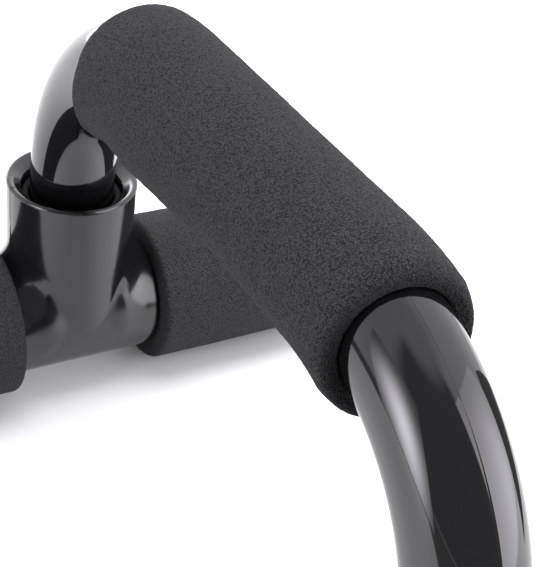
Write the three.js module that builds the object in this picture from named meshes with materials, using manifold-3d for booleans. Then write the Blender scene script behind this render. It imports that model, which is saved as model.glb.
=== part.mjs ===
// Push-up stand: a bent steel tube with a foam grip, plugged into two padded foot bars.
// Millimetres. +Z is up and the floor is z = 0. The grip runs along X, the foot bars along Y.
// Foot "a" is at +X and foot "b" at -X; on each foot "front" is -Y and "back" is +Y.
import * as THREE from "three";
import { mergeVertices } from "three/addons/utils/BufferGeometryUtils.js";
import Module from "manifold-3d";

const wasm = await Module();
wasm.setup();

// ---- fits ----
const GAP = 0.3; // clearance left between two pieces that touch
const SIDES = 32; // flats round every large turned piece; radii are measured to the flats

// ---- handle tube ----
const TUBE_RADIUS = 12.5;
const TUBE_WALL = 1.5;
const LEG_SPACING = 193.5; // from one leg's axis to the other's
const BEND_RADIUS = 55; // to the tube's centreline
const BEND_STEPS = 14;
const LEG_SHOWING = 2.4; // straight leg between a cup's rim and the start of its bend
const LEG_Y = -1.6; // the legs stand a little in front of the foot bars' middles

// ---- grip foam ----
const GRIP_FOAM_WALL = 4.55;
const GRIP_FOAM_IN_BEND = 18.4; // how far the sleeve runs past the straight, measured along X
const GRIP_FOAM_RIM = 3; // rounding of the sleeve's rims

// ---- foot bars ----
const FOOT_TUBE_RADIUS = 16;
const FOOT_TUBE_WALL = 1.5;
const FOOT_FOAM_WALL = 7.56;
const FOOT_FOAM_LENGTH = 60.8;
const FOOT_FOAM_RIM = 1.8;
const FOAM_SQUASH = 0.4; // how far each foot foam is pressed flat where it meets the floor
const CAP_OVERHANG = 4; // cap flange beyond the foot tube
const CAP_FLANGE = 3.2;
const CAP_STEM = 12;
const CAP_WALL = 2;

// ---- tee sockets ----
const ARM_WALL = 2.2;
const ARM_SHOWING = 3.35; // arm left bare on each side of the cup, before LEG_Y moves the cup
const BUSH_WALL = 2;
const CUP_WALL = 4.45;
const MOUTH = 3; // width and depth of the funnel that leads into the cup
const CUP_RISE = 46.9; // foot tube's axis to the cup's rim
const CUP_FLOOR = 2.2; // thickness under the leg
const EDGE = 0.8; // chamfer on the moulded edges
const BUSH_RECESS = 5; // rim to the top of the bush

// ---- leg plugs ----
const PLUG_FLANGE = 2;
const PLUG_STEM = 9;
const PLUG_WALL = 2;

// ---- screws ----
const SCREW_SIDES = 16;
const SCREW_INSET = 9; // from the arm's end to the screw's axis
const SCREW_HEAD_RADIUS = 3.2;
const SCREW_HEAD = 1.9;
const SCREW_RADIUS = 1.6;
const SCREW_TIP = 3; // length past the foot tube's wall
const SPOT_DEPTH = 0.9; // flat seat cut into the arm for the head

// ---- places worked out from the sizes above ----
const FOAM_BORE = TUBE_RADIUS + GAP;
const GRIP_FOAM_RADIUS = FOAM_BORE + GRIP_FOAM_WALL;
const ARM_BORE = FOOT_TUBE_RADIUS + GAP;
const ARM_RADIUS = ARM_BORE + ARM_WALL;
const FOOT_FOAM_RADIUS = ARM_BORE + FOOT_FOAM_WALL;
const BUSH_RADIUS = TUBE_RADIUS + GAP + BUSH_WALL;
const CUP_BORE = BUSH_RADIUS + GAP;
const CUP_RADIUS = CUP_BORE + CUP_WALL;
const ARM_HALF = CUP_RADIUS + ARM_SHOWING;
const LEG_X = LEG_SPACING / 2;
const STRAIGHT_HALF = LEG_X - BEND_RADIUS;
const GRIP_FOAM_HALF = STRAIGHT_HALF + GRIP_FOAM_IN_BEND;
const BEND_LENGTH = (Math.PI / 2) * BEND_RADIUS;
const FOOT_Z = FOOT_FOAM_RADIUS - FOAM_SQUASH;
const CUP_RIM_Z = FOOT_Z + CUP_RISE;
const BEND_Z = CUP_RIM_Z + LEG_SHOWING;
const GRIP_HEIGHT = BEND_Z + BEND_RADIUS;
const SEAT_Z = FOOT_Z + ARM_BORE + CUP_FLOOR;
const PLUG_Z = SEAT_Z + GAP;
const TUBE_END_Z = PLUG_Z + PLUG_FLANGE + GAP;
const TUBE_HALF = STRAIGHT_HALF + BEND_LENGTH + (BEND_Z - TUBE_END_Z);
const FOOT_FOAM_START = ARM_HALF + GAP;
const FOOT_FOAM_END = FOOT_FOAM_START + FOOT_FOAM_LENGTH;
const FOOT_TUBE_HALF = FOOT_FOAM_END + GAP;
const CAP_FACE = FOOT_TUBE_HALF + GAP;
const CAP_RADIUS = FOOT_TUBE_RADIUS + CAP_OVERHANG;
const SCREW_OFFSET = ARM_HALF - SCREW_INSET;
const SPOT_Z = FOOT_Z - ARM_RADIUS + SPOT_DEPTH;

const geometryOf = (positions, index) => {
  const geometry = new THREE.BufferGeometry();
  geometry.setAttribute("position", new THREE.Float32BufferAttribute(positions, 3));
  geometry.setIndex(index);
  return geometry;
};

// Six times the volume inside a set of triangles; negative when they face inwards.
function signedVolume(positions, index) {
  const at = (i) => new THREE.Vector3().fromArray(positions, 3 * i);
  let sum = 0;
  for (let i = 0; i < index.length; i += 3)
    sum += at(index[i]).dot(at(index[i + 1]).cross(at(index[i + 2])));
  return sum;
}

// Turns a closed loop of [along, radius] points round a path. `place` takes the distance along
// the path and two offsets across it, and gives the point in space.
function turned(loop, place, sides = SIDES) {
  const positions = [];
  const count = loop.length;
  for (let j = 0; j < sides; j++) {
    const angle = ((j + 0.5) / sides) * 2 * Math.PI;
    for (const [along, radius] of loop) {
      const corner = radius / Math.cos(Math.PI / sides);
      positions.push(...place(along, corner * Math.cos(angle), corner * Math.sin(angle)));
    }
  }
  const onAxis = (i) => loop[i][1] < 1e-6;
  const vertex = (j, i) => (onAxis(i) ? i : (j % sides) * count + i);
  const index = [];
  for (let j = 0; j < sides; j++)
    for (let i = 0; i < count; i++) {
      const k = (i + 1) % count;
      if (onAxis(i) && onAxis(k)) continue;
      if (!onAxis(i)) index.push(vertex(j, i), vertex(j + 1, i), vertex(j + 1, k));
      if (!onAxis(k)) index.push(vertex(j, i), vertex(j + 1, k), vertex(j, k));
    }
  if (signedVolume(positions, index) < 0)
    for (let i = 0; i < index.length; i += 3) [index[i], index[i + 1]] = [index[i + 1], index[i]];
  return geometryOf(positions, index);
}

function solidOf(geometry) {
  const bare = geometry.clone();
  bare.deleteAttribute("normal");
  bare.deleteAttribute("uv");
  const merged = mergeVertices(bare, 1e-4);
  return new wasm.Manifold(
    new wasm.Mesh({
      numProp: 3,
      vertProperties: merged.attributes.position.array,
      triVerts: new Uint32Array(merged.index.array),
    }),
  );
}

function meshOf(solid) {
  const mesh = solid.getMesh();
  return geometryOf(Array.from(mesh.vertProperties), Array.from(mesh.triVerts));
}

// ---- paths ----
const upright = (x, y) => (along, u, v) => [x + u, y + v, along];
const onLeg = (x) => upright(x, LEG_Y);
const acrossY = (x, z, side = 1) => (along, u, v) => [x + u, side * along, z + v];

// Along the handle's centreline: zero at the middle of the grip, positive towards foot "a".
function onHandle(along, u, v) {
  const side = Math.sign(along);
  const past = Math.abs(along) - STRAIGHT_HALF;
  const y = LEG_Y + u;
  if (past <= 0) return [along, y, GRIP_HEIGHT + v];
  if (past >= BEND_LENGTH) return [side * (LEG_X + v), y, BEND_Z - (past - BEND_LENGTH)];
  const turn = past / BEND_RADIUS;
  const reach = BEND_RADIUS + v;
  return [side * (STRAIGHT_HALF + reach * Math.sin(turn)), y, BEND_Z + reach * Math.cos(turn)];
}

// The same tube cut square to X: the sleeve's ends stay upright where they run into the bends.
function squareToGrip(x, u, v) {
  const past = Math.abs(x) - STRAIGHT_HALF;
  if (past <= 0) return [x, LEG_Y + u, GRIP_HEIGHT + v];
  const reach = BEND_RADIUS + v;
  return [x, LEG_Y + u, BEND_Z + Math.sqrt(reach * reach - past * past)];
}

const steps = (from, to, count) =>
  Array.from({ length: count + 1 }, (_, i) => from + ((to - from) * i) / count);

// Points of a rounded rim from the end face (at `end`) to the outer surface (at `radius`).
const rim = (end, inward, radius, round, count = 4) =>
  steps(Math.PI / 2, 0, count).map((a) => [
    end + inward * round * (1 - Math.sin(a)),
    radius - round * (1 - Math.cos(a)),
  ]);

// ---- pieces ----
function handleTube() {
  const bend = steps(STRAIGHT_HALF, STRAIGHT_HALF + BEND_LENGTH, BEND_STEPS);
  const half = [...bend, TUBE_HALF];
  const stations = [...half.map((s) => -s).reverse(), ...half];
  const inner = TUBE_RADIUS - TUBE_WALL;
  return turned(
    [
      ...stations.map((s) => [s, TUBE_RADIUS]),
      ...stations.reverse().map((s) => [s, inner]),
    ],
    onHandle,
  );
}

function gripFoam() {
  const inBend = steps(STRAIGHT_HALF, GRIP_FOAM_HALF - GRIP_FOAM_RIM, 3).slice(0, -1);
  const outer = (side) => [
    ...inBend.map((x) => [side * x, GRIP_FOAM_RADIUS]),
    ...rim(side * GRIP_FOAM_HALF, -side, GRIP_FOAM_RADIUS, GRIP_FOAM_RIM).reverse(),
  ];
  const inner = (side) =>
    steps(GRIP_FOAM_HALF, STRAIGHT_HALF, 4).map((x) => [side * x, FOAM_BORE]);
  return turned(
    [...outer(1), ...inner(1), ...inner(-1).reverse(), ...outer(-1).reverse()],
    squareToGrip,
  );
}

function footFoam(x, side) {
  const sleeve = turned(
    [
      [FOOT_FOAM_START, ARM_BORE],
      ...rim(FOOT_FOAM_START, 1, FOOT_FOAM_RADIUS, FOOT_FOAM_RIM),
      ...rim(FOOT_FOAM_END, -1, FOOT_FOAM_RADIUS, FOOT_FOAM_RIM).reverse(),
      [FOOT_FOAM_END, ARM_BORE],
    ],
    acrossY(x, FOOT_Z, side),
  );
  const size = 4 * FOOT_FOAM_END;
  const floor = new THREE.BoxGeometry(size, size, size).translate(x, 0, -size / 2);
  return meshOf(solidOf(sleeve).subtract(solidOf(floor)));
}

const screwPlaces = (x) => [-1, 1].map((side) => [x, side * SCREW_OFFSET]);

// Upright cylinder used to cut the screw holes.
const drill = (x, y, radius, bottom, top) =>
  solidOf(
    turned([[bottom, 0], [bottom, radius], [top, radius], [top, 0]], upright(x, y), SCREW_SIDES),
  );

function footTube(x) {
  const inner = FOOT_TUBE_RADIUS - FOOT_TUBE_WALL;
  const tube = turned(
    [
      [-FOOT_TUBE_HALF, FOOT_TUBE_RADIUS],
      [FOOT_TUBE_HALF, FOOT_TUBE_RADIUS],
      [FOOT_TUBE_HALF, inner],
      [-FOOT_TUBE_HALF, inner],
    ],
    acrossY(x, FOOT_Z),
  );
  const holes = screwPlaces(x).map(([sx, sy]) => drill(sx, sy, SCREW_RADIUS + GAP, 0, FOOT_Z));
  return meshOf(holes.reduce((solid, hole) => solid.subtract(hole), solidOf(tube)));
}

function socket(x) {
  const arm = turned(
    [
      [-ARM_HALF, 0],
      [-ARM_HALF, ARM_RADIUS - EDGE],
      [-ARM_HALF + EDGE, ARM_RADIUS],
      [ARM_HALF - EDGE, ARM_RADIUS],
      [ARM_HALF, ARM_RADIUS - EDGE],
      [ARM_HALF, 0],
    ],
    acrossY(x, FOOT_Z),
  );
  // The cup has a slight draft: it meets the arm at the arm's own radius.
  const cup = turned(
    [
      [FOOT_Z, 0],
      [FOOT_Z, ARM_RADIUS - 0.02],
      [CUP_RIM_Z - EDGE, CUP_RADIUS],
      [CUP_RIM_Z, CUP_RADIUS - EDGE],
      [CUP_RIM_Z, 0],
    ],
    onLeg(x),
  );
  const cupBore = turned(
    [
      [SEAT_Z, 0],
      [SEAT_Z, CUP_BORE],
      [CUP_RIM_Z - MOUTH, CUP_BORE],
      [CUP_RIM_Z + EDGE, CUP_BORE + MOUTH + EDGE],
      [CUP_RIM_Z + EDGE, 0],
    ],
    onLeg(x),
  );
  const armBore = turned(
    [[-2 * ARM_HALF, 0], [-2 * ARM_HALF, ARM_BORE], [2 * ARM_HALF, ARM_BORE], [2 * ARM_HALF, 0]],
    acrossY(x, FOOT_Z),
  );
  let solid = solidOf(arm).add(solidOf(cup)).subtract(solidOf(cupBore)).subtract(solidOf(armBore));
  for (const [sx, sy] of screwPlaces(x))
    solid = solid
      .subtract(drill(sx, sy, SCREW_RADIUS + GAP, 0, FOOT_Z))
      .subtract(drill(sx, sy, SCREW_HEAD_RADIUS + GAP, 0, SPOT_Z));
  return meshOf(solid);
}

function bush(x) {
  const inner = TUBE_RADIUS + GAP;
  const top = CUP_RIM_Z - BUSH_RECESS;
  return turned(
    [
      [SEAT_Z + GAP, inner],
      [SEAT_Z + GAP, BUSH_RADIUS],
      [top - EDGE / 2, BUSH_RADIUS],
      [top, BUSH_RADIUS - EDGE / 2],
      [top, inner + EDGE],
      [top - EDGE, inner],
    ],
    onLeg(x),
  );
}

// Blind plug that closes the bottom of a leg and bears on the cup's floor.
function legPlug(x) {
  const stem = TUBE_RADIUS - TUBE_WALL - GAP;
  const flange = PLUG_Z + PLUG_FLANGE;
  return turned(
    [
      [PLUG_Z, 0],
      [PLUG_Z, TUBE_RADIUS - EDGE],
      [PLUG_Z + EDGE, TUBE_RADIUS - GAP],
      [flange, TUBE_RADIUS - GAP],
      [flange, stem],
      [flange + PLUG_STEM, stem],
      [flange + PLUG_STEM, stem - PLUG_WALL],
      [flange, stem - PLUG_WALL],
      [flange, 0],
    ],
    onLeg(x),
  );
}

function endCap(x, side) {
  const stem = FOOT_TUBE_RADIUS - FOOT_TUBE_WALL - GAP;
  const outside = CAP_FACE + CAP_FLANGE;
  return turned(
    [
      [CAP_FACE, 0],
      [CAP_FACE, stem - CAP_WALL],
      [CAP_FACE - CAP_STEM, stem - CAP_WALL],
      [CAP_FACE - CAP_STEM, stem],
      [CAP_FACE, stem],
      [CAP_FACE, CAP_RADIUS],
      ...rim(outside, -1, CAP_RADIUS, CAP_FLANGE / 2, 3).reverse(),
      [outside, 0],
    ],
    acrossY(x, FOOT_Z, side),
  );
}

// Pan-head screw driven up through the arm and the foot tube's wall, with a cross slot.
function screw(x, y) {
  const headTop = SPOT_Z - GAP;
  const headBottom = headTop - SCREW_HEAD;
  const tip = FOOT_Z - FOOT_TUBE_RADIUS + FOOT_TUBE_WALL + SCREW_TIP;
  const blank = turned(
    [
      [headBottom, 0],
      [headBottom, SCREW_HEAD_RADIUS - EDGE],
      [headBottom + EDGE, SCREW_HEAD_RADIUS],
      [headTop, SCREW_HEAD_RADIUS],
      [headTop, SCREW_RADIUS],
      [tip - SCREW_RADIUS, SCREW_RADIUS],
      [tip, 0],
    ],
    upright(x, y),
    SCREW_SIDES,
  );
  const blade = (width, depth) =>
    solidOf(new THREE.BoxGeometry(width, depth, 2 * EDGE).translate(x, y, headBottom));
  const slot = blade(0.7 * SCREW_HEAD_RADIUS * 2, EDGE).add(
    blade(EDGE, 0.7 * SCREW_HEAD_RADIUS * 2),
  );
  return meshOf(solidOf(blank).subtract(slot));
}

// ---- assembly ----
const FINISH = {
  paint: { color: 0x0a0a0c, roughness: 0.12, metalness: 0.3 },
  foam: { color: 0x3a3a3c, roughness: 0.95, metalness: 0 },
  moulded: { color: 0x0d0d0f, roughness: 0.2, metalness: 0 },
  rubber: { color: 0x17171a, roughness: 0.7, metalness: 0 },
  zinc: { color: 0x55585c, roughness: 0.35, metalness: 0.9 },
};

const stand = new THREE.Group();
stand.name = "push_up_stand";

function put(name, finish, geometry) {
  geometry.computeVertexNormals();
  const mesh = new THREE.Mesh(geometry, new THREE.MeshStandardMaterial(FINISH[finish]));
  mesh.name = name;
  stand.add(mesh);
}

put("handle_tube", "paint", handleTube());
put("grip_foam", "foam", gripFoam());
for (const [foot, x] of [["a", LEG_X], ["b", -LEG_X]]) {
  put(`leg_plug_${foot}`, "rubber", legPlug(x));
  put(`socket_${foot}`, "moulded", socket(x));
  put(`bush_${foot}`, "rubber", bush(x));
  put(`foot_tube_${foot}`, "paint", footTube(x));
  for (const [end, side] of [["front", -1], ["back", 1]]) {
    put(`foot_foam_${foot}_${end}`, "foam", footFoam(x, side));
    put(`end_cap_${foot}_${end}`, "rubber", endCap(x, side));
    put(`screw_${foot}_${end}`, "zinc", screw(x, side * SCREW_OFFSET));
  }
}

export default stand;
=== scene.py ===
import math

import bpy
import numpy as np
from mathutils import Matrix, Vector, noise


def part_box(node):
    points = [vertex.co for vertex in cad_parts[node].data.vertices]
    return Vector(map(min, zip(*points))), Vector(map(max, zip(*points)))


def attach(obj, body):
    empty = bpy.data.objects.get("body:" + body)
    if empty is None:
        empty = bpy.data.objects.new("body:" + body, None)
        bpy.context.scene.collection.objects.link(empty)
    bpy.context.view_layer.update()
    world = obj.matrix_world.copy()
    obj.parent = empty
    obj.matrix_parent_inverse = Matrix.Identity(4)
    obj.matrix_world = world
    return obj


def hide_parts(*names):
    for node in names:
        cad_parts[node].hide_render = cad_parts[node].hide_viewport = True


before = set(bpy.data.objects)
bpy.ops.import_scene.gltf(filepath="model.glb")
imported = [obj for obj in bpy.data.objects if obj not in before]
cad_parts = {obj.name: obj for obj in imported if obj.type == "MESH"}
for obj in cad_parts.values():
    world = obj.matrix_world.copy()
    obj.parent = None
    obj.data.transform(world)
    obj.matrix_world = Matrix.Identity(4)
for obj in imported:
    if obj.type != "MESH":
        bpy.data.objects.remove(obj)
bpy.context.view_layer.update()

MM = 0.001

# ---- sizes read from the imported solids, in metres ----
tube_lo, tube_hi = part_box("handle_tube")
foam_lo, foam_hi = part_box("grip_foam")
arm_lo, arm_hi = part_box("socket_a")
bush_lo, bush_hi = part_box("bush_a")
foot_lo, foot_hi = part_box("foot_tube_a")
sleeve_lo, sleeve_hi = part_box("foot_foam_a_back")
cap_lo, cap_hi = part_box("end_cap_a_back")
plug_lo, plug_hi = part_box("leg_plug_a")
screw_lo, screw_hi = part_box("screw_a_back")

# ---- sizes that the boxes don't show, the same as in the CAD ----
GAP = 0.3 * MM  # between two pieces that touch
BEND_R = 55 * MM
TUBE_WALL = 1.5 * MM
FOOT_TUBE_WALL = 1.5 * MM
ARM_WALL = 2.2 * MM
CUP_WALL = 4.45 * MM
MOUTH = 3 * MM  # width and depth of the funnel that leads into a cup
SPOT_DEPTH = 0.9 * MM  # flat seat cut into the arm for a screw's head
PLUG_FLANGE = 2 * MM
PLUG_WALL = 2 * MM
CAP_FLANGE = 3.2 * MM
CAP_STEM = 12 * MM
CAP_WALL = 2 * MM

# ---- places worked out from both ----
LEG_Y = (tube_lo.y + tube_hi.y) / 2
TUBE_R = (tube_hi.y - tube_lo.y) / 2
LEG_X = tube_hi.x - TUBE_R
GRIP_Z = tube_hi.z - TUBE_R
STRAIGHT = LEG_X - BEND_R
BEND_Z = GRIP_Z - BEND_R
BEND_LEN = math.pi / 2 * BEND_R
GRIP_FOAM_R = (foam_hi.y - foam_lo.y) / 2
GRIP_FOAM_HALF = foam_hi.x
FOOT_Z = (foot_lo.z + foot_hi.z) / 2
FOOT_R = (foot_hi.z - foot_lo.z) / 2
FOOT_HALF = foot_hi.y
SLEEVE_R = (sleeve_hi.x - sleeve_lo.x) / 2
SLEEVE_IN = sleeve_lo.y
SLEEVE_OUT = sleeve_hi.y
ARM_HALF = arm_hi.y
ARM_BORE = FOOT_R + GAP
ARM_R = ARM_BORE + ARM_WALL
CUP_R = (arm_hi.x - arm_lo.x) / 2
CUP_BORE = CUP_R - CUP_WALL
RIM_Z = arm_hi.z
SEAT_Z = plug_lo.z - GAP
CAP_R = (cap_hi.x - cap_lo.x) / 2
CAP_OUT = cap_hi.y
CAP_FACE = CAP_OUT - CAP_FLANGE
SCREW_Y = (screw_lo.y + screw_hi.y) / 2
SCREW_HEAD_R = (screw_hi.x - screw_lo.x) / 2
SCREW_LENGTH = screw_hi.z - screw_lo.z
SPOT_Z = FOOT_Z - ARM_R + SPOT_DEPTH

# ---- how the foams and the tube differ from plain turned shapes ----
SNUG = 0.06 * MM  # a foam sleeve's bore stands this far off its tube
BORE_MARGIN = 0.3 * MM  # foam this close to its bore keeps still when the skin is roughened
LUMP_PITCH = 14 * MM
SWELL = 0.17  # how much the grip sleeve's underside swells at the -X bend
SWELL_FROM = 10 * MM  # where along the grip the swelling starts
SWELL_RUN = 42 * MM  # and how far it takes to grow
SLANT_FROM = 0.6  # the share of the grip sleeve's half-length where its ends' slants begin
PLUS_SLANT = 0.13  # sideways slope of the cut at the +X end
MINUS_SLANT = 0.075  # and at the -X end
LEAN = 0.03  # slope of both cuts that leaves the sleeve longer underneath
WELD = math.radians(94.5)  # the tube's weld, on the outside of the bends
WELD_SPREAD = 0.012  # radians from the weld's ridge to each of its edges
WELD_HEIGHT = 0.035 * MM


# ---- mesh helpers ----
def make_object(name, verts, faces, normals=None, sharp=40):
    """A mesh object shaded smooth, with given normals or with edges over `sharp` degrees kept sharp."""
    mesh = bpy.data.meshes.new(name)
    mesh.from_pydata([tuple(v) for v in verts], [], faces)
    mesh.validate()
    mesh.shade_smooth()
    if normals is not None:
        mesh.normals_split_custom_set_from_vertices([tuple(n) for n in normals])
    elif sharp:
        mesh.set_sharp_from_angle(angle=math.radians(sharp))
    piece = bpy.data.objects.new(name, mesh)
    bpy.context.scene.collection.objects.link(piece)
    return piece


def rounded(corners, steps=6):
    """A closed outline of (along, radius, fillet) corners, with each fillet drawn as an arc.

    A point just past each end of an arc keeps the flat beside it looking flat.
    """
    lead = 0.2
    points = []
    count = len(corners)
    for i, (along, radius, fillet) in enumerate(corners):
        here = np.array((along, radius))
        if fillet <= 0:
            points.append(here)
            continue
        before = np.array(corners[i - 1][:2]) - here
        after = np.array(corners[(i + 1) % count][:2]) - here
        to_before = before / np.linalg.norm(before)
        to_after = after / np.linalg.norm(after)
        half = math.acos(max(-1, min(1, float(to_before @ to_after)))) / 2
        run = fillet / math.tan(half)
        middle = (to_before + to_after) / np.linalg.norm(to_before + to_after)
        centre = here + middle * fillet / math.sin(half)
        start, end = here + to_before * run, here + to_after * run
        a = math.atan2(*(start - centre)[::-1])
        b = math.atan2(*(end - centre)[::-1])
        turn = (b - a + math.pi) % (2 * math.pi) - math.pi
        points.append(start + to_before * fillet * lead)
        for k in range(steps + 1):
            angle = a + turn * k / steps
            points.append(centre + fillet * np.array((math.cos(angle), math.sin(angle))))
        points.append(end + to_after * fillet * lead)
    return points


def spaced(points, step):
    """The same closed outline with long edges split so that no edge is longer than step(point)."""
    result = []
    for i, start in enumerate(points):
        end = points[(i + 1) % len(points)]
        length = float(np.linalg.norm(end - start))
        count = max(1, math.ceil(length / step((start + end) / 2)))
        result += [start + (end - start) * k / count for k in range(count)]
    return result


def volume_of(verts, faces):
    """The volume inside the faces; negative when they face inwards."""
    at = np.array(verts)
    at = at - at.mean(0)
    first, second, third = (at[[f[n] for f in faces]] for n in range(3))
    fourth = at[[f[-1] for f in faces]]
    halves = np.cross(first, second) * third + np.cross(first, third) * fourth
    return halves.sum() / 6


def turned(name, outline, place, angles=96, **shading):
    """Turns a closed (along, radius) outline round a path. A radius of 0 becomes a single pole."""
    if isinstance(angles, int):
        angles = [2 * math.pi * (j + 0.5) / angles for j in range(angles)]
    sides = len(angles)
    verts, index = [], []
    for along, radius in outline:
        if radius < 1e-9:
            index.append([len(verts)] * sides)
            verts.append(place(along, 0, 0))
            continue
        index.append(list(range(len(verts), len(verts) + sides)))
        verts += [place(along, radius * math.cos(a), radius * math.sin(a)) for a in angles]
    faces = []
    for i, row in enumerate(index):
        following = index[(i + 1) % len(index)]
        for j in range(sides):
            k = (j + 1) % sides
            corners = [row[j], row[k], following[k], following[j]]
            corners = [c for n, c in enumerate(corners) if c not in corners[:n]]
            if len(corners) > 2:
                faces.append(corners)
    if volume_of(verts, faces) < 0:
        faces = [f[::-1] for f in faces]
    return make_object(name, verts, faces, **shading)


def on_leg(x):
    """Places a turned piece upright on the leg at x."""
    return lambda along, u, v: (x + u, LEG_Y + v, along)


def on_foot(x, side=1):
    """Places a turned piece along the foot bar at x, growing towards the back (1) or the front (-1)."""
    return lambda along, u, v: (x + u, side * along, FOOT_Z + v)


def on_handle(along, u, v):
    """Places a turned piece along the handle, measured from the middle of the grip."""
    side = math.copysign(1, along)
    past = abs(along) - STRAIGHT
    if past <= 0:
        return (along, LEG_Y + u, GRIP_Z + v)
    if past >= BEND_LEN:
        return (side * (LEG_X + v), LEG_Y + u, BEND_Z - (past - BEND_LEN))
    turn = past / BEND_R
    reach = BEND_R + v
    return (side * (STRAIGHT + reach * math.sin(turn)), LEG_Y + u, BEND_Z + reach * math.cos(turn))


def square_to_grip(x, u, v):
    """Places the grip sleeve: round the tube, but with its sawn ends nearly square to X."""
    # The sleeve gathers towards the -X bend, and its underside swells there.
    skin = max(0, (math.hypot(u, v) - TUBE_R) / (GRIP_FOAM_R - TUBE_R))
    under = min(1, max(0, 0.2 - 1.2 * v / GRIP_FOAM_R))
    grown = min(1, max(0, (SWELL_FROM - x) / SWELL_RUN))
    swell = 1 + SWELL * skin * under * grown
    u, v = u * swell, v * swell
    share = max(0, abs(x) / GRIP_FOAM_HALF - SLANT_FROM) / (1 - SLANT_FROM)
    slant = PLUS_SLANT if x > 0 else MINUS_SLANT
    x += share * (slant * u - math.copysign(LEAN, x) * v)
    past = abs(x) - STRAIGHT
    y = LEG_Y + u
    if past <= 0:
        return (x, y, GRIP_Z + v)
    reach = BEND_R + v
    return (x, y, BEND_Z + math.sqrt(max(reach * reach - past * past, 0)))


# ---- shader nodes ----
def math_node(tree, operation, *values):
    """The result of a maths node fed with sockets or plain numbers."""
    node = tree.nodes.new("ShaderNodeMath")
    node.operation = operation
    for socket, value in zip(node.inputs, values):
        if isinstance(value, (int, float)):
            socket.default_value = value
        else:
            tree.links.new(value, socket)
    return node.outputs[0]


def vector_node(tree, operation, vector, other):
    """The result of a vector node fed with one socket and one plain vector."""
    node = tree.nodes.new("ShaderNodeVectorMath")
    node.operation = operation
    tree.links.new(vector, node.inputs[0])
    node.inputs[1].default_value = other
    return node.outputs["Value" if operation == "DOT_PRODUCT" else "Vector"]


def range_node(tree, value, source, target, smooth=False):
    """Maps a value from the source range to the target range, and holds it beyond both ends."""
    node = tree.nodes.new("ShaderNodeMapRange")
    if smooth:
        node.interpolation_type = "SMOOTHSTEP"
    sockets = ("From Min", "From Max", "To Min", "To Max")
    for socket, number in zip(sockets, (*source, *target)):
        node.inputs[socket].default_value = number
    tree.links.new(value, node.inputs["Value"])
    return node.outputs["Result"]


# ---- materials ----
class Nodes:
    """Short calls for building one material's node tree. Sizes are in metres."""

    def __init__(self, name, **sockets):
        self.material = bpy.data.materials.new(name)
        self.material.use_nodes = True
        self.tree = self.material.node_tree
        self.shader = self.tree.nodes["Principled BSDF"]
        for socket, value in sockets.items():
            self.shader.inputs[socket.replace("_", " ")].default_value = value
        self.coordinates = self.tree.nodes.new("ShaderNodeTexCoord").outputs["Object"]

    def link(self, output, target):
        self.tree.links.new(output, target)

    def drive(self, socket, output):
        """Feeds one socket of the material's shader."""
        self.link(output, self.shader.inputs[socket])

    def noise(self, size, detail=3.0, roughness=0.5):
        """3-D noise whose grains are about `size` across."""
        node = self.tree.nodes.new("ShaderNodeTexNoise")
        node.inputs["Scale"].default_value = 1 / size
        node.inputs["Detail"].default_value = detail
        node.inputs["Roughness"].default_value = roughness
        self.link(self.coordinates, node.inputs["Vector"])
        return node.outputs["Fac"]

    def pores(self, size, smooth):
        """Cells about `size` across: low in the middle of each one, high between them."""
        node = self.tree.nodes.new("ShaderNodeTexVoronoi")
        node.feature = "SMOOTH_F1"
        node.inputs["Scale"].default_value = 1 / size
        node.inputs["Smoothness"].default_value = smooth
        self.link(self.coordinates, node.inputs["Vector"])
        return node.outputs["Distance"]

    def math(self, operation, a, b):
        return math_node(self.tree, operation, a, b)

    def spread(self, value, source, target):
        return range_node(self.tree, value, source, target)

    def colours(self, value, *stops):
        """A colour ramp through (place, colour) stops."""
        node = self.tree.nodes.new("ShaderNodeValToRGB")
        ramp = node.color_ramp
        while len(ramp.elements) < len(stops):
            ramp.elements.new(0.5)
        for element, (place, colour) in zip(ramp.elements, stops):
            element.position = place
            element.color = (*colour, 1)
        self.link(value, node.inputs["Fac"])
        return node.outputs["Color"]

    def bump(self, height, depth, strength=1.0, under=None):
        """A normal that shows the height as relief of this depth, on top of the normal under it."""
        node = self.tree.nodes.new("ShaderNodeBump")
        node.inputs["Distance"].default_value = depth
        node.inputs["Strength"].default_value = strength
        self.link(height, node.inputs["Height"])
        if under is not None:
            self.link(under, node.inputs["Normal"])
        return node.outputs["Normal"]


def foam_material():
    """Charcoal closed-cell foam: matt and grainy, its cells a little under half a millimetre across."""
    m = Nodes("charcoal_foam", Roughness=0.95, Specular_IOR_Level=0.22)
    cells = m.math("SUBTRACT", 0.7, m.pores(0.42 * MM, smooth=0.2))
    grain = m.noise(0.20 * MM, detail=2.0, roughness=0.6)
    cloud = m.noise(16 * MM, detail=2.0, roughness=0.5)
    fine_share = 0.85
    cloud_share = 0.05
    tone = m.math("ADD", m.math("MULTIPLY", grain, fine_share), m.math("MULTIPLY", cells, fine_share))
    tone = m.math("ADD", tone, m.math("MULTIPLY", cloud, cloud_share))
    # The sawn end faces are painted darker: painted shade, as they face away from the lights, on top of
    # the darker open pores that have no skin.
    cut = m.tree.nodes.new("ShaderNodeAttribute")
    cut.attribute_name = "cut"
    painted_end_shade = 0.12
    # Painted shade: the tone drops on the end faces by the cut mark.
    tone = m.math("SUBTRACT", tone, m.math("MULTIPLY", cut.outputs["Fac"], painted_end_shade))
    dark = (0.35, (0.012, 0.012, 0.012))
    middle = (0.62, (0.029, 0.029, 0.0295))
    light = (0.9, (0.062, 0.062, 0.065))
    m.drive("Base Color", m.colours(tone, dark, middle, light))
    normal = m.bump(cells, depth=0.45 * MM)
    m.drive("Normal", m.bump(grain, depth=0.22 * MM, under=normal))
    return m.material


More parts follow.
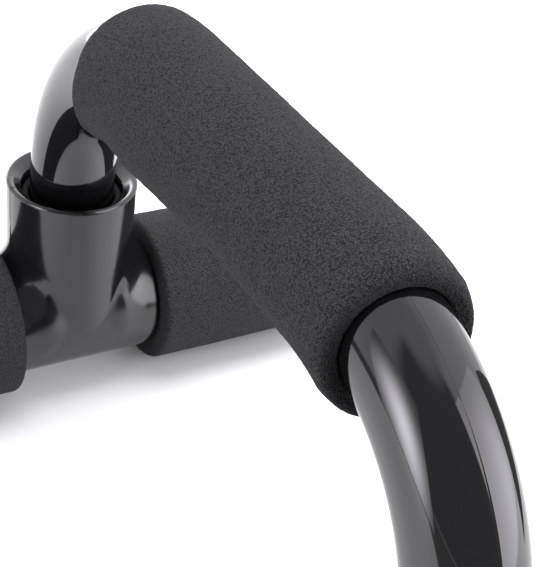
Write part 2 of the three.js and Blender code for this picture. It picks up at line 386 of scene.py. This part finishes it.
def paint_material():
    """Gloss black paint over steel tube, with a trace of orange peel and faint handling haze."""
    black = (0.004, 0.004, 0.0045, 1)
    m = Nodes("gloss_black_paint", Base_Color=black, IOR=1.67, Specular_IOR_Level=0.5)
    haze = m.noise(11 * MM, detail=4.0, roughness=0.6)
    m.drive("Roughness", m.spread(haze, (0.35, 0.75), (0.035, 0.075)))
    peel = m.noise(2.6 * MM, detail=1.0)
    m.drive("Normal", m.bump(peel, depth=0.010 * MM, strength=0.35))
    return m.material


def moulded_material():
    """Gloss black moulded plastic: slightly softer shine than the paint, with faint flow marks."""
    black = (0.006, 0.006, 0.0065, 1)
    m = Nodes("gloss_black_plastic", Base_Color=black, IOR=1.6, Specular_IOR_Level=0.5)
    flow = m.noise(7 * MM, detail=4.0, roughness=0.6)
    m.drive("Roughness", m.spread(flow, (0.3, 0.75), (0.12, 0.20)))
    ripple = m.noise(3.5 * MM, detail=2.0)
    m.drive("Normal", m.bump(ripple, depth=0.015 * MM, strength=0.4))
    return m.material


def satin_material():
    """Satin black plastic with a fine spark-eroded texture, for the caps and plugs."""
    m = Nodes("satin_black_plastic", IOR=1.5, Specular_IOR_Level=0.5)
    cloud = m.noise(3 * MM, detail=4.0, roughness=0.6)
    dark = (0.3, (0.013, 0.013, 0.014))
    light = (0.75, (0.024, 0.024, 0.026))
    m.drive("Base Color", m.colours(cloud, dark, light))
    fine = m.noise(0.35 * MM, detail=2.0, roughness=0.6)
    m.drive("Roughness", m.spread(fine, (0.3, 0.7), (0.32, 0.48)))
    m.drive("Normal", m.bump(fine, depth=0.03 * MM, strength=0.6))
    return m.material


def rubber_material():
    """Dull black rubber for the bushes."""
    m = Nodes("black_rubber", Specular_IOR_Level=0.35)
    cloud = m.noise(2 * MM, detail=4.0, roughness=0.6)
    dark = (0.3, (0.003, 0.003, 0.003))
    light = (0.75, (0.007, 0.007, 0.0075))
    m.drive("Base Color", m.colours(cloud, dark, light))
    m.drive("Roughness", m.spread(m.noise(1.2 * MM), (0.3, 0.7), (0.6, 0.85)))
    m.drive("Normal", m.bump(m.noise(0.5 * MM, detail=2.0), depth=0.04 * MM, strength=0.5))
    return m.material


def zinc_material():
    """Bright zinc plate, uneven in tone and shine."""
    m = Nodes("zinc_plate", Metallic=1.0)
    cloud = m.noise(1.5 * MM, detail=4.0, roughness=0.6)
    dark = (0.3, (0.36, 0.37, 0.39))
    light = (0.75, (0.5, 0.5, 0.5))
    m.drive("Base Color", m.colours(cloud, dark, light))
    m.drive("Roughness", m.spread(m.noise(0.6 * MM), (0.3, 0.7), (0.22, 0.42)))
    m.drive("Normal", m.bump(m.noise(0.3 * MM, detail=2.0), depth=0.01 * MM, strength=0.5))
    return m.material


foam = foam_material()
paint = paint_material()
moulded = moulded_material()
satin = satin_material()
rubber = rubber_material()
zinc = zinc_material()


def settle(piece, body, node, material):
    """Paints a piece, ties it to the body it rides, and hides the CAD node it stands for."""
    piece.data.materials.append(material)
    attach(piece, body)
    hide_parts(node)
    return piece


# ---- foam ----
def roughen(piece, axis, in_bore, pitch, lumps=0.10 * MM, grain=0.085 * MM):
    """Moves the foam's skin in and out a little, and marks the sawn ends, which face along the axis, for
    the painted shade that the foam material puts on them.
    """
    mesh = piece.data
    count = len(mesh.vertices)
    at = np.empty(count * 3)
    normal = np.empty(count * 3)
    mesh.vertices.foreach_get("co", at)
    mesh.vertices.foreach_get("normal", normal)
    at, normal = at.reshape(-1, 3), normal.reshape(-1, 3)
    move = np.zeros(count)
    for i in range(count):
        if in_bore(at[i]):
            continue
        p = Vector(at[i])
        move[i] = (
            lumps * noise.noise(p / LUMP_PITCH)
            + 0.7 * grain * noise.noise(p / (2 * pitch))
            + grain * noise.noise(p / pitch)
        )
    mesh.vertices.foreach_set("co", (at + normal * move[:, None]).ravel())
    mesh.update()
    # The mark fades from 1 on an end face to 0 on the skin, across the rim between them. The foam
    # material paints shade on the end faces by it.
    cut = mesh.attributes.new("cut", "FLOAT", "POINT")
    cut.data.foreach_set("value", np.clip((np.abs(normal[:, axis]) - 0.35) / 0.45, 0, 1))


def skin_spacing(bore, fine, coarse):
    """The longest edge allowed at a point of a sleeve's outline: fine everywhere but in the bore."""
    skin = bore + 0.4 * MM
    return lambda point: fine if point[1] > skin else coarse


def build_grip_foam():
    half, bore = GRIP_FOAM_HALF, TUBE_R + SNUG
    set_back = 1.1 * MM  # of each end face, at the bore
    drop, shoulder = 1.2 * MM, 3.2 * MM  # of each rim, below the skin and back from the end
    bore_fillet, face_fillet, rim_fillet = 1.1 * MM, 1.6 * MM, 3.8 * MM
    outline = rounded(
        [
            (half - set_back, bore, bore_fillet),
            (half, GRIP_FOAM_R - drop, face_fillet),
            (half - shoulder, GRIP_FOAM_R, rim_fillet),
            (shoulder - half, GRIP_FOAM_R, rim_fillet),
            (-half, GRIP_FOAM_R - drop, face_fillet),
            (set_back - half, bore, bore_fillet),
        ],
        steps=8,
    )
    outline = spaced(outline, skin_spacing(bore, fine=0.36 * MM, coarse=3 * MM))
    piece = turned("grip_foam_sleeve", outline, square_to_grip, angles=300, sharp=0)

    def in_bore(p):
        return math.hypot(p[1] - LEG_Y, p[2] - GRIP_Z) < bore + BORE_MARGIN and abs(p[0]) < STRAIGHT

    roughen(piece, 0, in_bore, pitch=0.7 * MM, grain=0.11 * MM)
    return piece


def build_foot_foam(name, x, side):
    bore = FOOT_R + SNUG
    bore_fillet, rim_fillet = 0.9 * MM, 1.9 * MM
    outline = rounded(
        [
            (SLEEVE_IN, bore, bore_fillet),
            (SLEEVE_IN, SLEEVE_R, rim_fillet),
            (SLEEVE_OUT, SLEEVE_R, rim_fillet),
            (SLEEVE_OUT, bore, bore_fillet),
        ],
        steps=8,
    )
    outline = spaced(outline, skin_spacing(bore, fine=0.6 * MM, coarse=4 * MM))
    piece = turned(name, outline, on_foot(x, side), angles=240, sharp=0)

    def in_bore(p):
        return math.hypot(p[0] - x, p[2] - FOOT_Z) < bore + BORE_MARGIN

    roughen(piece, 1, in_bore, pitch=0.95 * MM)
    # Pressed flat where it bears on the floor.
    for v in piece.data.vertices:
        if v.co.z < 0:
            v.co.z = 0
    return piece


# ---- handle ----
def build_handle():
    bend_steps = 96
    stations = [STRAIGHT + BEND_LEN * k / bend_steps for k in range(bend_steps + 1)]
    end = STRAIGHT + BEND_LEN + (BEND_Z - tube_lo.z)
    stations.append(end - 4 * MM)
    edge = 0.35 * MM
    lip = [(end - edge, TUBE_R), (end - edge * 0.3, TUBE_R - edge * 0.3), (end, TUBE_R - edge)]
    outer = [(s, TUBE_R) for s in stations] + lip
    inner = [(end, TUBE_R - TUBE_WALL)] + [(s, TUBE_R - TUBE_WALL) for s in reversed(stations)]
    half = outer + inner
    outline = [*half, *[(-s, r) for s, r in reversed(half)]]
    # The weld shows as a hairline ridge under the paint.
    sides = 144
    around = [2 * math.pi * (j + 0.5) / sides for j in range(sides)]
    angles = sorted([*around, WELD - WELD_SPREAD, WELD, WELD + WELD_SPREAD])

    def seamed(along, u, v):
        if abs(math.atan2(v, u) - WELD) < 1e-4 and math.hypot(u, v) > TUBE_R - 1e-6:
            raised = 1 + WELD_HEIGHT / TUBE_R
            u, v = u * raised, v * raised
        return on_handle(along, u, v)

    return turned("handle_tube_painted", [np.array(p) for p in outline], seamed, angles)


# ---- shapes from distance functions, all in mm ----
def smooth_min(a, b, k):
    """The nearer of two solids' distances, blended over k where they are close."""
    k = np.maximum(k, 1e-6)
    h = np.maximum(k - np.abs(a - b), 0) / k
    return np.minimum(a, b) - h * h * k / 4


def smooth_cut(a, b, k):
    """Takes solid b away from solid a, with the edge between them rounded."""
    return -smooth_min(-a, b, k)


def rod(radial, axial, radius, half, edge):
    """A round bar of this half-length, with its rims rounded."""
    qa, qb = radial - radius + edge, np.abs(axial) - half + edge
    outside = np.hypot(np.maximum(qa, 0), np.maximum(qb, 0))
    return np.minimum(np.maximum(qa, qb), 0) + outside - edge


def slope(distance, p, reach=0.02):
    """The gradient of a distance function at each point."""
    result = np.empty_like(p)
    for k in range(3):
        step = np.zeros(3)
        step[k] = reach
        result[:, k] = (distance(p + step) - distance(p - step)) / (2 * reach)
    return result


def surface_of(distance, low, high, cell):
    """Surface nets: one vertex in each grid cell that the surface crosses, then moved onto it."""
    axes = [np.arange(low[k], high[k] + cell, cell) for k in range(3)]
    shape = [len(a) for a in axes]
    grid = np.stack(np.meshgrid(*axes, indexing="ij"), -1).reshape(-1, 3)
    value = distance(grid).reshape(shape)
    inside = value < 0
    cells = tuple(n - 1 for n in shape)
    total, count = np.zeros((*cells, 3)), np.zeros(cells)
    corners = [(i, j, k) for i in (0, 1) for j in (0, 1) for k in (0, 1)]

    def part(array, c):
        return array[c[0]:c[0] + cells[0], c[1]:c[1] + cells[1], c[2]:c[2] + cells[2]]

    for a in corners:
        for axis in range(3):
            if a[axis]:
                continue
            b = tuple(n + (m == axis) for m, n in enumerate(a))
            va, vb = part(value, a), part(value, b)
            cross = (va < 0) != (vb < 0)
            t = np.where(cross, va / np.where(cross, va - vb, 1), 0)
            point = np.zeros((*cells, 3)) + np.array(a)
            point[..., axis] += t
            total += point * cross[..., None]
            count += cross
    used = count > 0
    number = -np.ones(cells, int)
    number[used] = np.arange(used.sum())
    origin = np.argwhere(used)
    verts = (origin + total[used] / count[used][:, None]) * cell + np.array(low)
    faces = []
    for axis in range(3):
        first, second = (axis + 1) % 3, (axis + 2) % 3
        ahead = np.roll(inside, -1, axis)
        change = inside != ahead
        for side in range(3):
            cut = [slice(None)] * 3
            cut[side] = slice(-1, None)
            change[tuple(cut)] = False
            cut[side] = slice(0, 1)
            change[tuple(cut)] = False
        at = np.argwhere(change)
        none, one, two = (np.zeros(3, int) for _ in range(3))
        one[first] = 1
        two[second] = 1
        quad = [number[tuple((at - d).T)] for d in (one + two, two, none, one)]
        quad = np.stack(quad, 1)
        flip = ~inside[tuple(at.T)]
        quad[flip] = quad[flip][:, ::-1]
        faces.append(quad)
    faces = np.concatenate(faces)
    faces = faces[(faces >= 0).all(1)]
    # Each step moves the vertices towards the surface, by half a cell at most.
    settling_steps = 4
    for _ in range(settling_steps):
        steepness = slope(distance, verts)
        size = np.maximum((steepness ** 2).sum(1, keepdims=True), 0.25)
        move = -distance(verts)[:, None] * steepness / size
        verts += np.clip(move, -0.5 * cell, 0.5 * cell)
    normals = slope(distance, verts)
    normals /= np.maximum(np.linalg.norm(normals, axis=1, keepdims=True), 1e-9)
    return verts, faces, normals


def placed(name, shape, at):
    """A new object from a shape that was worked out once, moved to its place."""
    verts, faces, normals = shape
    return make_object(name, verts * MM + np.array(at), faces.tolist(), normals=normals)


# ---- tee socket ----
def socket_distance(p):
    """A tee socket. Its origin is on the foot tube's axis, in the middle of the arm."""
    u, v, w = p[:, 0], p[:, 1], p[:, 2]
    rise = (RIM_Z - FOOT_Z) / MM
    seat = (SEAT_Z - FOOT_Z) / MM
    spot = (SPOT_Z - FOOT_Z) / MM
    across = np.hypot(u, w)
    from_leg = v - LEG_Y / MM
    round_leg = np.hypot(u, from_leg)
    arm = rod(across, v, ARM_R / MM, ARM_HALF / MM, edge=0.9)
    # The cup is a little wider at its rim than where it grows out of the arm.
    share = np.clip(w / rise, 0, 1)
    draft = (ARM_R + (CUP_R - ARM_R) * share) / MM
    cup = rod(round_leg - draft, w - rise / 2, 0.0, rise / 2, edge=1.0)
    # The two blend in the crotches in front of and behind the cup, but not where they are flush.
    crotch = np.clip((np.abs(from_leg) - 5) / 9, 0, 1)
    blend = 8.0
    body = smooth_min(arm, cup, blend * crotch * crotch * (3 - 2 * crotch))
    # A thin mould line runs round the tee in the plane of its two axes.
    line_height, line_width = 0.10, 0.22
    body = body - line_height * np.exp(-((u / line_width) ** 2)) * (np.abs(from_leg) > 8)
    # The funnel's slope makes its distance too steep, so it is scaled down to stay near true.
    funnel = np.clip(w - rise + MOUTH / MM, 0, MOUTH / MM + 1)
    long, short = 40, 20  # half-lengths of the rods that cut the bores and the screws' holes
    cup_bore = 0.75 * rod(round_leg - funnel, w - seat - long, CUP_BORE / MM, long, edge=1.2)
    arm_bore = rod(across, v, ARM_BORE / MM, 2 * long, edge=0.5)
    body = smooth_cut(body, cup_bore, 1.0)
    body = smooth_cut(body, arm_bore, 0.6)
    spot_r = SCREW_HEAD_R / MM + 0.3
    hole_r = 1.9
    for side in (-1, 1):
        from_screw = np.hypot(u, v - side * SCREW_Y / MM)
        body = smooth_cut(body, rod(from_screw, w - spot + short, spot_r, short, edge=0.2), 0.3)
        body = smooth_cut(body, rod(from_screw, w + short, hole_r, short, edge=0.1), 0.3)
    return body


TEE_MARGIN = 1.6
tee_low = (-CUP_R / MM - TEE_MARGIN, -ARM_HALF / MM - TEE_MARGIN, -ARM_R / MM - TEE_MARGIN)
tee_high = (CUP_R / MM + TEE_MARGIN, ARM_HALF / MM + TEE_MARGIN, (RIM_Z - FOOT_Z) / MM + TEE_MARGIN)
tee_shape = surface_of(socket_distance, tee_low, tee_high, cell=0.6)


# ---- turned small pieces ----
def build_bush(name, x):
    inner, outer = TUBE_R + GAP, CUP_BORE - GAP
    outline = rounded(
        [
            (bush_lo.z, inner, 0.2 * MM),
            (bush_lo.z, outer, 0.3 * MM),
            (bush_hi.z, outer, 0.4 * MM),
            (bush_hi.z, inner, 1.0 * MM),
        ]
    )
    return turned(name, outline, on_leg(x))


def build_plug(name, x):
    outer = TUBE_R - GAP
    stem = TUBE_R - TUBE_WALL - GAP
    inner = stem - PLUG_WALL
    flange = plug_lo.z + PLUG_FLANGE
    outline = rounded(
        [
            (plug_lo.z, 0, 0),
            (plug_lo.z, outer, 0.7 * MM),
            (flange, outer, 0.25 * MM),
            (flange, stem, 0.15 * MM),
            (plug_hi.z, stem, 0.4 * MM),
            (plug_hi.z, inner, 0.3 * MM),
            (flange, inner, 0.5 * MM),
            (flange, 0, 0),
        ]
    )
    return turned(name, outline, on_leg(x))


def build_foot_tube(name, x):
    inner = FOOT_R - FOOT_TUBE_WALL
    edge = 0.3 * MM
    outline = rounded(
        [
            (-FOOT_HALF, FOOT_R, edge),
            (FOOT_HALF, FOOT_R, edge),
            (FOOT_HALF, inner, edge),
            (-FOOT_HALF, inner, edge),
        ]
    )
    return turned(name, outline, on_foot(x))


def build_cap(name, x, side):
    stem = FOOT_R - FOOT_TUBE_WALL - GAP
    inner = stem - CAP_WALL
    deep = CAP_FACE - CAP_STEM
    dish = 0.8 * MM
    outline = rounded(
        [
            (CAP_FACE, 0, 0),
            (CAP_FACE, inner, 0.5 * MM),
            (deep, inner, 0.3 * MM),
            (deep, stem, 0.5 * MM),
            (CAP_FACE, stem, 0.2 * MM),
            (CAP_FACE, CAP_R, 0.4 * MM),
            (CAP_OUT, CAP_R, 1.5 * MM),
            (CAP_OUT, CAP_R - 4.2 * MM, 0.5 * MM),
            (CAP_OUT - dish, CAP_R - 5.4 * MM, 0.6 * MM),
            (CAP_OUT - dish, 0, 0),
        ],
        steps=7,
    )
    return turned(name, outline, on_foot(x, side), angles=120)


# ---- screw ----
def screw_distance(p):
    """A pan-head screw, in mm, head down. Its origin is the lowest point of the head, on the axis."""
    u, v, w = p[:, 0], p[:, 1], p[:, 2]
    radial = np.hypot(u, v)
    half_head, dome_r = 0.95, 4.6
    head = rod(radial, w - half_head, SCREW_HEAD_R / MM, half_head, edge=0.18)
    dome = np.sqrt(u * u + v * v + (w - dome_r) ** 2) - dome_r
    head = -smooth_min(-head, -dome, 0.4)
    length = SCREW_LENGTH / MM
    shank_r, thread_from = 1.42, 2.4
    thread_pitch, thread_height = 0.9, 0.16
    ridge = thread_height * np.cos(2 * math.pi * (w / thread_pitch - np.arctan2(v, u) / (2 * math.pi)))
    shank = rod(radial, w - length / 2, shank_r, length / 2, edge=1.0) - ridge * (w > thread_from)
    body = smooth_min(head, shank, 0.15)
    # The cross slot narrows as it goes in.
    slot_half, slot_reach, slot_depth = 0.42, 1.95, 1.3
    one = np.maximum(np.abs(u) - slot_half, np.abs(v) - slot_reach)
    other = np.maximum(np.abs(v) - slot_half, np.abs(u) - slot_reach)
    slot = np.maximum(np.minimum(one, other) + 0.18 * w, w - slot_depth)
    return smooth_cut(body, slot, 0.15)


SCREW_MARGIN = 0.5
screw_side = SCREW_HEAD_R / MM + SCREW_MARGIN
screw_low = (-screw_side, -screw_side, -SCREW_MARGIN)
screw_high = (screw_side, screw_side, SCREW_LENGTH / MM + SCREW_MARGIN)
screw_shape = surface_of(screw_distance, screw_low, screw_high, cell=0.17)


# ---- assembly ----
settle(build_handle(), "handle", "handle_tube", paint)
settle(build_grip_foam(), "handle", "grip_foam", foam)

for foot, x in (("a", LEG_X), ("b", -LEG_X)):
    body = f"foot_{foot}"
    settle(build_plug(f"leg_plug_{foot}_turned", x), "handle", f"leg_plug_{foot}", satin)
    tee = placed(f"tee_socket_{foot}", tee_shape, (x, 0, FOOT_Z))
    settle(tee, body, f"socket_{foot}", moulded)
    settle(build_bush(f"leg_bush_{foot}", x), body, f"bush_{foot}", rubber)
    tube = build_foot_tube(f"foot_tube_{foot}_painted", x)
    settle(tube, body, f"foot_tube_{foot}", paint)
    for end, side in (("front", -1), ("back", 1)):
        tail = f"{foot}_{end}"
        sleeve = build_foot_foam(f"foot_sleeve_{tail}", x, side)
        settle(sleeve, body, f"foot_foam_{tail}", foam)
        settle(build_cap(f"foot_cap_{tail}", x, side), body, f"end_cap_{tail}", satin)
        screw = placed(f"pan_screw_{tail}", screw_shape, (x, side * SCREW_Y, screw_lo.z))
        settle(screw, body, f"screw_{tail}", zinc)


# ---- floor ----
def build_floor():
    size, cuts = 40.0, 40
    step = size / cuts
    ticks = [-size / 2 + i * step for i in range(cuts + 1)]
    verts = [(x, y, 0) for x in ticks for y in ticks]
    row = cuts + 1
    faces = [
        (i * row + j, (i + 1) * row + j, (i + 1) * row + j + 1, i * row + j + 1)
        for i in range(cuts)
        for j in range(cuts)
    ]
    floor = make_object("floor", verts, faces, sharp=0)
    m = Nodes("pale_floor", Base_Color=(0.80, 0.815, 0.785, 1), Roughness=0.55, Specular_IOR_Level=0.3)
    floor.data.materials.append(m.material)


build_floor()


# ---- lights ----
STUDIO_WHITE = (0.945, 0.925, 1.0)


def emission(tree, colour):
    """Ends a tree in emission of one colour, and gives the socket that takes its strength."""
    node = tree.nodes.new("ShaderNodeEmission")
    node.inputs["Color"].default_value = (*colour, 1)
    out = tree.nodes.new("ShaderNodeOutputMaterial")
    tree.links.new(node.outputs[0], out.inputs["Surface"])
    return node.inputs["Strength"]


def studio_object(name, corners, tree_of, glossy_only):
    """A flat panel that lights the stand, or only shows in its reflections, and never in the picture."""
    panel = make_object(name, corners, [tuple(range(len(corners)))], sharp=0)
    material = bpy.data.materials.new(name)
    material.use_nodes = True
    material.node_tree.nodes.clear()
    tree_of(material.node_tree)
    panel.data.materials.append(material)
    panel.visible_camera = False
    if glossy_only:
        panel.visible_diffuse = panel.visible_shadow = False


def softbox(name, start, end, top, hot, spread, peak, edge):
    """An upright softbox over the floor line from start to end: a hot lamp behind white cloth.

    Its strength is `peak` at the hot spot and falls off towards `edge`, as fast as `spread` says
    along the floor line and in height.
    """
    along = (Vector((*end, 0)) - Vector((*start, 0))).normalized()

    def glow(tree):
        position = tree.nodes.new("ShaderNodeNewGeometry").outputs["Position"]
        offset = vector_node(tree, "SUBTRACT", position, hot)
        squares = []
        for direction, reach in zip((along, Vector((0, 0, 1))), spread):
            distance = vector_node(tree, "DOT_PRODUCT", offset, direction / reach)
            squares.append(math_node(tree, "MULTIPLY", distance, distance))
        fade = math_node(tree, "POWER", math.exp(-0.5), math_node(tree, "ADD", *squares))
        level = range_node(tree, fade, (0, 1), (edge, peak))
        tree.links.new(level, emission(tree, STUDIO_WHITE))

    bottom = 1 * MM
    corners = [(*start, bottom), (*end, bottom), (*end, top), (*start, top)]
    studio_object(name, corners, glow, glossy_only=False)


def flag(name, corners, level):
    """A dim card that shows only in the gloss, as the unlit studio beyond the sweep of white paper."""

    def dim(tree):
        emission(tree, (1, 1, 1)).default_value = level

    studio_object(name, corners, dim, glossy_only=True)


softbox(
    "right_softbox", (0.773, 0.303), (0.15, 2.63), top=1.36,
    hot=(0.612, 0.905, 0.33), spread=(0.62, 0.42), peak=5.4, edge=2.3,
)
softbox(
    "left_softbox", (-0.165, -0.80), (0.338, -0.80), top=0.74,
    hot=(0.078, -0.80, 0.23), spread=(0.125, 0.185), peak=9.6, edge=0.5,
)
right_flag = [(-0.06, 0.345, 0), (0.05, 0.345, 0.2), (0.08, 0.345, 0.2), (0.175, 0.345, 0)]
flag("right_flag", right_flag, level=0.16)
softbox(
    "far_card", (-1.3, 0.32), (-1.3, -0.30), top=0.42,
    hot=(-1.3, 0, 0.2), spread=(0.25, 0.2), peak=7.0, edge=3.0,
)
floor_end = [(-4, -4), (4, -4), (4, -0.35), (0.23, -0.35), (0.23, -0.74), (-4, -0.74)]
flag("left_floor_end", [(x, y, 0.5 * MM) for x, y in floor_end], level=0.3)


def overhead_light():
    """Broad soft light from above: fills the foam and the floor, but stays out of the gloss."""
    data = bpy.data.lights.new("overhead", "AREA")
    data.shape = "DISK"
    data.size = 1.0
    data.energy = 22
    data.color = STUDIO_WHITE
    light = bpy.data.objects.new("overhead", data)
    light.location = (-0.25, 0.15, 1.3)
    light.visible_glossy = False
    bpy.context.scene.collection.objects.link(light)


overhead_light()


def build_world():
    """Studio surroundings by direction: pale behind and above, dark on the side of the camera."""
    world = bpy.data.worlds.new("studio")
    world.use_nodes = True
    tree = world.node_tree
    background = tree.nodes["Background"]
    direction = tree.nodes.new("ShaderNodeTexCoord").outputs["Generated"]
    height = vector_node(tree, "DOT_PRODUCT", direction, (0, 0, 1))
    flattened = vector_node(tree, "MULTIPLY", direction, (1, 1, 0))
    level = tree.nodes.new("ShaderNodeVectorMath")
    level.operation = "NORMALIZE"
    tree.links.new(flattened, level.inputs[0])

    def towards(degrees, source):
        """0 to 1 as the direction turns towards a heading in degrees from +X to +Y."""
        heading = (math.cos(math.radians(degrees)), math.sin(math.radians(degrees)), 0)
        facing = vector_node(tree, "DOT_PRODUCT", level.outputs["Vector"], heading)
        return range_node(tree, facing, source, (0, 1), smooth=True)

    def combine(operation, a, b):
        return math_node(tree, operation, a, b)

    low = range_node(tree, height, (0.89, 0.985), (1, 0), smooth=True)
    everywhere, on_the_right, in_the_dark = 1.0, 0.6, 0.26
    right = combine("MULTIPLY", towards(100, (-0.2, 0.9)), low)
    bright = combine("ADD", combine("MULTIPLY", right, on_the_right), everywhere)
    paper = range_node(tree, height, (0.3, 0.8), (0.8, 0), smooth=True)
    sweep = combine("MULTIPLY", towards(190, (0.3, 0.9)), paper)
    bright = combine("ADD", bright, sweep)
    dark = combine("MULTIPLY", towards(-30, (0.42, 0.66)), low)
    kept = combine("MULTIPLY", bright, combine("SUBTRACT", 1, dark))
    strength = combine("ADD", kept, combine("MULTIPLY", dark, in_the_dark))
    tree.links.new(strength, background.inputs["Strength"])
    background.inputs["Color"].default_value = (*STUDIO_WHITE, 1)
    bpy.context.scene.world = world


build_world()
bpy.context.scene.view_settings.view_transform = "Standard"
bpy.context.scene.view_settings.look = "None"


# ---- camera ----
def place_camera():
    """The photo's viewpoint, found by fitting a pinhole camera to the stand's outline in it."""
    heading, down, roll = (math.radians(a) for a in (55.05, 35.33, 9.49))
    ahead, aside = (-math.sin(heading), math.cos(heading)), (math.cos(heading), math.sin(heading))
    forward = Vector((ahead[0] * math.cos(down), ahead[1] * math.cos(down), -math.sin(down)))
    level = Vector((*aside, 0))
    above = level.cross(forward)
    right = math.cos(roll) * level + math.sin(roll) * above
    up = -math.sin(roll) * level + math.cos(roll) * above
    data = bpy.data.cameras.new("camera")
    data.sensor_width = 36
    data.lens = 79.05
    data.clip_start = 0.01
    camera = bpy.data.objects.new("camera", data)
    turn = Matrix((right, up, -forward)).transposed().to_4x4()
    # Y is measured from the plane of the legs and Z from the foot tubes' axes.
    at = Vector((0.19880, -0.12991 + LEG_Y, 0.24470 + FOOT_Z))
    camera.matrix_world = Matrix.Translation(at) @ turn
    bpy.context.scene.collection.objects.link(camera)
    bpy.context.scene.camera = camera


place_camera()
